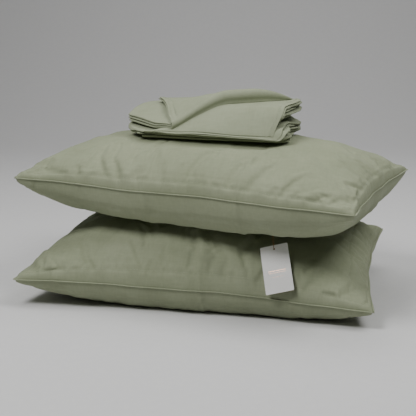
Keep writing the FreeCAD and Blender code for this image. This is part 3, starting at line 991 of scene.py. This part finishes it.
def turned_corner():
    """The turned-back corner: a sheet that rolls over along the fold and lies back flat."""
    rows, flats = 90, 60
    turns = ROLL_COLUMNS
    k = np.concatenate([RIM[:-1] / 0.28, np.linspace(RIM[-1] / 0.28, 1, rows)])[:, None]
    swell = (1 - np.clip(1 - k / 0.50, 0, 1) ** 1.6) * (1 - np.clip((k - 0.66) / 0.34, 0, 1) ** 2.2)
    radius = 0.5 * mix((mix((0.0124, 0.0024), k), 0.0285), swell)
    root = FOLD_START + (FOLD_END - FOLD_START) * k
    far = CORNER_TIP + (FOLD_END - CORNER_TIP) * (TIP_SPREAD * k)
    reach = norm(far - root, axis=-1, keepdims=True)
    lean = (far - root) / reach
    angle = np.linspace(-0.5 * math.pi, 0.5 * math.pi, turns)[None, :]
    back = np.linspace(0, 1, flats + 1)[None, 1:] ** 1.15
    bulge = radius * (1 - np.cos(angle))
    bulge = np.where(angle < 0, np.minimum(bulge, 0.0020), bulge)
    d = np.concatenate([bulge, radius + (reach - radius) * back], axis=1)
    a0, b0 = cover_shares(root[:, 0], root[:, 1])
    floor = (cover_top(a0, b0) - fold_dent(root[:, 0], root[:, 1]) + 0.0005)[:, None]
    x = root[:, :1] + lean[:, :1] * d
    y = root[:, 1:] + lean[:, 1:] * d
    a, b = cover_shares(x, y)
    fall = np.concatenate([np.zeros((len(k), turns)), np.tile(back, (len(k), 1))], axis=1)
    rolled = np.concatenate([radius * (1 + np.sin(angle)), 2 * radius + 0 * back], axis=1)
    ground = mix((floor, cover_top(a, b) + 0.0005), np.clip(d / (0.35 * reach), 0, 1))
    beyond = ease(a, *LEFT_FOLDS_END)
    lying = ground + mix((rolled, mix((0.0062, 0.0024), beyond)), 1 - (1 - fall) ** 1.6)
    over = left_top(a, b) + 2 * CLOTH + 0.0014
    over = mix((over, cover_top(a, b) + 0.0010), beyond)
    z = np.where(fall > 0, soft_max(lying, over, 0.0010), lying)
    jump = z[:, turns:turns + 1] - z[:, turns - 1:turns]
    z[:, :turns] += np.clip(jump, 0, None) * (0.5 + 0.5 * np.sin(angle)) ** 1.5
    z = z + waves(x, y, 8, 0.0004, span=(0.05, 0.12)) * ease(fall, 0.0, 0.3)
    outer = np.stack([x, y, z], axis=-1)
    along = np.cumsum(norm(np.diff(outer, axis=0, prepend=outer[:1]), axis=-1), axis=0)
    relief = hem_relief(along) * ease(fall, 0.0, 0.10)
    normal = -normals_of(outer)
    normal *= np.where(normal[:, -1:, 2:3] < 0, -1, 1)
    outer = outer + normal * relief[..., None]
    return outer, outer - normal * CLOTH, normal


def bend_at_fold(piece):
    """The turned corner goes on from the cover as one cloth; here its transform is only baked into
    its mesh, and it is not bent along the fold.
    """
    along = unit(FOLD_END - FOLD_START)
    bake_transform(piece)


def cloth_piece(name, grids, *nodes, body="folded_cover"):
    """Sheets of cloth, each an upper and a lower grid, as one piece of the cover."""
    sheets = [slab_mesh("%s_%d" % (name, k), up, down, COVER_CLOTH)
              for k, (up, down) in enumerate(grids)]
    piece = joined(name, *sheets)
    placed(piece, body, nodes)
    declare_sheet([up for up, _ in grids])


def sewn(name, points, normals, body):
    """A line of stitches on the cover."""
    line = (points + 0.0003 * normals, normals)
    placed(stitch_mesh(name, [line]), body)


def folded_cover():
    """The groups of folds from the pillow up, and the stitching of the two hems."""
    lower = [lower_leaf(i) for i in (1, 2, 3, 4, 5)]
    cloth_piece("cover_bottom_folds", lower[:2], "cover_fold_1")
    cloth_piece("cover_front_folds", lower[2:4], "cover_fold_2")
    cloth_piece("cover_bulging_fold", lower[4:], "cover_fold_3")
    cloth_piece("cover_upper_folds", [upper_leaf(i) for i in (1, 2, 3, 4)], "cover_fold_4")
    main = top_layer()
    gap = norm(main[0][:, 60] - main[0][-1, 60], axis=-1)      # along its middle
    column = len(gap) - int(np.searchsorted(gap[::-1], 0.0110))
    sewn("cover_hem_stitching", main[0][column], normals_of(main[0])[column], "folded_cover")
    cloth_piece("cover_top_layer", [main], "cover_fold_5", "cover_side_hem")
    cloth_piece("cover_left_folds", [left_leaf(i) for i in (0, 1, 2)])
    outer, inner, normal = turned_corner()
    row = int(np.searchsorted(norm(outer[:, -1] - outer[0, -1], axis=-1), 0.0105))
    flat = ROLL_COLUMNS + 2
    sewn("cover_corner_stitching", outer[row, flat:], normal[row, flat:], "turned_corner")
    back = normal[:, ROLL_COLUMNS - 2:]
    share = np.linspace(0, 1, len(outer))[:, None, None]
    under = outer[:, ROLL_COLUMNS - 2:] - back * (CLOTH + 0.0008)
    under = under + 0.0028 * np.exp(-share / 0.04) * np.array((-0.922, -0.388, 0.0))
    cloth_piece("cover_turned_corner_cloth", [(outer, inner), (under, under - back * 0.0014)],
                "cover_turned_corner", body="turned_corner")


folded_cover()


# ---- swing tag

STRING_ROUTE = 0.001 * np.array((
    (154.5, -143.0, 152.5), (155.0, -151.0, 152.0), (156.5, -160.0, 150.0),
    (159.0, -169.0, 146.5), (161.6, -177.5, 141.0), (163.6, -181.8, 135.8),
    (164.1, -177.3, 131.5), (163.1, -170.3, 133.0), (161.1, -164.5, 138.0),
    (159.5, -158.5, 143.5), (158.0, -151.0, 147.5), (157.0, -143.0, 150.0)))
STRING_DIAMETER = 0.0012
KNOT_PLACE = np.array((0.1557, -0.1406, 0.1513))
TAG_TOP = np.array((0.1616, -0.1743, 0.1405))
TAG_DOWN = np.array((0.226, -0.616, -0.755))
TAG_ACROSS = np.array((0.968, 0.053, 0.247))


CARD = plain("tag_card", (0.84, 0.83, 0.81), (0.88, 0.87, 0.85), 420.0, 0.72)
KRAFT = plain("kraft_card", (0.30, 0.20, 0.12), (0.40, 0.28, 0.17), 500.0, 0.85)
COPPER = plain("copper_rule", (0.50, 0.31, 0.22), (0.58, 0.37, 0.27), 900.0, 0.38, metallic=0.7)
TWINE = plain("tag_twine", (0.30, 0.19, 0.09), (0.46, 0.31, 0.16), 1400.0, 0.9, 0.0002,
              stretch=(1.0, 0.3, 1.0))
SHELL = plain("sage_button", (0.24, 0.26, 0.19), (0.33, 0.35, 0.27), 90.0, 0.35)


def tag_rules():
    """Three plain rules across the middle of the card."""
    down = unit(TAG_DOWN)
    across = unit(TAG_ACROSS - down * (TAG_ACROSS @ down))
    out = np.cross(down, across)
    verts, faces = [], []
    for place, half_width, half_height in ((0.054, 0.017, 0.0006), (0.058, 0.017, 0.0003),
                                           (0.067, 0.011, 0.0002)):
        base = len(verts)
        for lift in (-0.0001, 0.00014):
            for i, j in ((-1, -1), (1, -1), (1, 1), (-1, 1)):
                verts.append(TAG_TOP + down * (place + j * half_height)
                             + across * i * half_width + out * (0.0006 + lift))
        faces += [[base + n for n in f] for f in (
            (3, 2, 1, 0), (4, 5, 6, 7), (0, 1, 5, 4), (1, 2, 6, 5), (2, 3, 7, 6), (3, 0, 4, 7))]
    rules = solid("tag_rules", np.array(verts), faces, COPPER, smooth=False)
    placed(rules, "swing_tag")


def tag_knot():
    """Three small turns of twine, pulled tight beside each other."""
    around, section = 20, 8
    axis = unit(STRING_ROUTE[0] - STRING_ROUTE[1])
    side = unit(np.cross(axis, (0, 0, 1.0)))
    up = np.cross(side, axis)
    turns = []
    for n, (shift, size, tilt) in enumerate(((-0.0011, 0.0013, 0.3), (0.0, 0.0016, -0.35),
                                             (0.0011, 0.0013, 0.2))):
        verts = []
        for i in range(around):
            a = 2 * math.pi * i / around
            radial = side * math.cos(a) + up * math.sin(a) + axis * tilt * math.cos(a)
            for j in range(section):
                b = 2 * math.pi * j / section
                verts.append(KNOT_PLACE + axis * shift + radial * size
                             + 0.0007 * (unit(radial) * math.cos(b) + axis * math.sin(b)))
        index = np.arange(around * section).reshape(around, section)
        index = np.pad(index, ((0, 1), (0, 1)), mode="wrap")
        turns.append(solid("knot_turn_%d" % n, np.array(verts), grid_faces(index), TWINE))
    knot = joined("string_knot", *turns)
    placed(knot, "tag_string", ["tag_knot"])
    return knot


def cad_node(name):
    return next(o for o in bpy.data.objects if o.get("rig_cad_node") == name)


def tag_string(knot):
    """The twine from the pillow's seam through the tag's hole and back."""
    data = bpy.data.curves.new("tag_twine", "CURVE")
    data.dimensions = "3D"
    data.bevel_depth = STRING_DIAMETER / 2
    data.bevel_resolution = 3
    data.resolution_u = 8
    line = data.splines.new("NURBS")
    line.points.add(len(STRING_ROUTE) - 1)
    for point, place in zip(line.points, STRING_ROUTE + HOME):
        point.co = (*place, 1.0)
    line.order_u = 3
    line.use_endpoint_u = True
    data.materials.append(TWINE)
    string = linked("tag_twine", data)
    placed(string, "tag_string", ["tag_string"])


tag_rules()
tag_string(tag_knot())
for node, finish, slot in (("tag_front_card", CARD, "tag_face"),
                           ("tag_back_card", KRAFT, "tag_back"),
                           ("cover_buttons", SHELL, "buttons"),
                           # The corner ties take the lighter seam cotton too, with its painted
                           # highlight colour.
                           ("cover_corner_ties", SEAM_CLOTH_PAINTED_HIGHLIGHT, "cover_cloth")):
    shown = cad_node(node)
    shown.data.materials.clear()
    shown.data.materials.append(finish)


# ---- studio

VIEW_AZIMUTH = math.radians(12.2)
VIEW_ELEVATION = math.radians(12.4)
VIEW_DISTANCE = 2.00
VIEW_TARGET = np.array([-0.007, 0.0, 0.170])
LENS = 80.1


def studio():
    """A pale sweep of paper: floor, wide bend and wall."""
    half, bend_start, bend_radius = 6.0, 1.9, 1.6
    profile = [(-half, 0.0), (0.0, 0.0), (bend_start, 0.0)]
    for k in range(1, 17):
        a = 0.5 * math.pi * k / 16
        profile.append((bend_start + bend_radius * math.sin(a), bend_radius * (1 - math.cos(a))))
    profile.append((bend_start + bend_radius, 7.0))
    c, n = math.cos(VIEW_AZIMUTH), math.sin(VIEW_AZIMUTH)
    verts = [(x * c - y * n, x * n + y * c, z) for y, z in profile for x in (-half, half)]
    faces = [(2 * k, 2 * k + 1, 2 * k + 3, 2 * k + 2) for k in range(len(profile) - 1)]
    sweep = new_object("paper_sweep", verts, faces)
    paper = Finish("paper_grey")
    paper.colour(paper.noise(60.0, 3.0), (0.69, 0.688, 0.684), (0.71, 0.708, 0.704))
    paper.put(paper.shader, Roughness=0.7, Specular_IOR_Level=0.2)
    sweep.data.materials.append(paper.material)


# Soft boxes: place, aim, size and power in watts
LIGHTS = {"key_softbox": ((1.2, -0.2, 1.9), (0.0, 0.0, 0.2), (1.0, 1.0), 22.0),
          "top_softbox": ((-0.3, 0.5, 2.4), (0.0, 0.0, 0.2), (1.8, 1.4), 17.0),
          "front_softbox": ((-0.9, -1.35, 2.35), (0.0, 0.0, 0.15), (0.9, 0.9), 45.0),
          "wall_wash": ((0.4, 1.5, 2.6), (0.6, 3.2, 0.2), (2.4, 0.6), 12.0)}


def lights():
    for name, (place, aim, size, power) in LIGHTS.items():
        data = bpy.data.lights.new(name, "AREA")
        data.shape = "RECTANGLE"
        data.size, data.size_y = size
        data.energy = power
        lamp = linked(name, data)
        lamp.location = place
        lamp.rotation_euler = (Vector(aim) - Vector(place)).to_track_quat("-Z", "Y").to_euler()
    world = bpy.data.worlds.new("studio_air")
    world.use_nodes = True
    air = world.node_tree.nodes["Background"].inputs
    air["Color"].default_value = (1.0, 0.995, 0.985, 1)
    air["Strength"].default_value = 0.04
    bpy.context.scene.world = world


def camera():
    """The photograph's view, a little above the pillows and from their right."""
    data = bpy.data.cameras.new("camera")
    data.lens = LENS
    data.sensor_width = 36.0
    eye = linked("camera", data)
    back = Vector((math.sin(VIEW_AZIMUTH) * math.cos(VIEW_ELEVATION),
                   -math.cos(VIEW_AZIMUTH) * math.cos(VIEW_ELEVATION),
                   math.sin(VIEW_ELEVATION)))
    eye.location = Vector(VIEW_TARGET + HOME) + back * VIEW_DISTANCE
    eye.rotation_euler = (-back).to_track_quat("-Z", "Y").to_euler()
    bpy.context.scene.camera = eye


studio()
lights()
camera()
